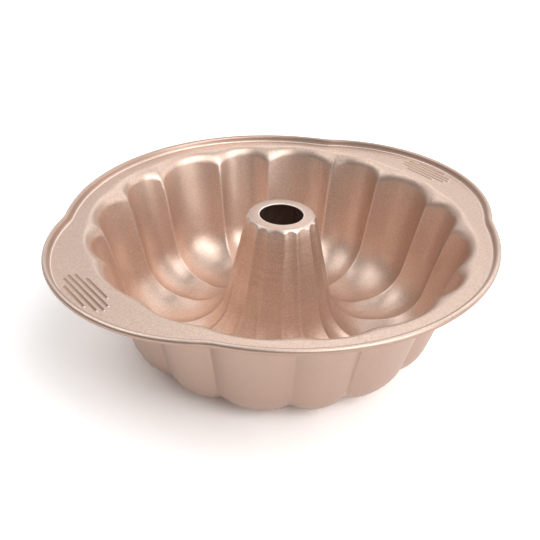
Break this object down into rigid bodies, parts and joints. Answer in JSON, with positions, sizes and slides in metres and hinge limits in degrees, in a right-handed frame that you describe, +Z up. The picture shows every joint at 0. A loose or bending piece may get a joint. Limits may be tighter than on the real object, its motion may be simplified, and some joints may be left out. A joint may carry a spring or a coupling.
{
  "type": "fluted tube pan",
  "caption": "Ring cake pan with a fluted wall, a fluted centre tube, a flat flange with ears and grip marks, and a rolled edge.",
  "frame": {"origin": "middle of the pan, on the plane of its lowest points, on which it stands", "axes": "+X through the middle of one ear, +Z up out of the pan's mouth, Y across between the ears"},
  "size_m": [0.2614, 0.2346, 0.0756],
  "materials": {
    "champagne_coating": "satin non-stick coating with a fine metallic grain, pale rose gold",
    "wire_steel": "drawn steel wire, hidden in the rolled edge"
  },
  "bodies": {
    "root": {"pan_shell": "champagne_coating", "rim_wire": "wire_steel"}
  },
  "joints": []
}
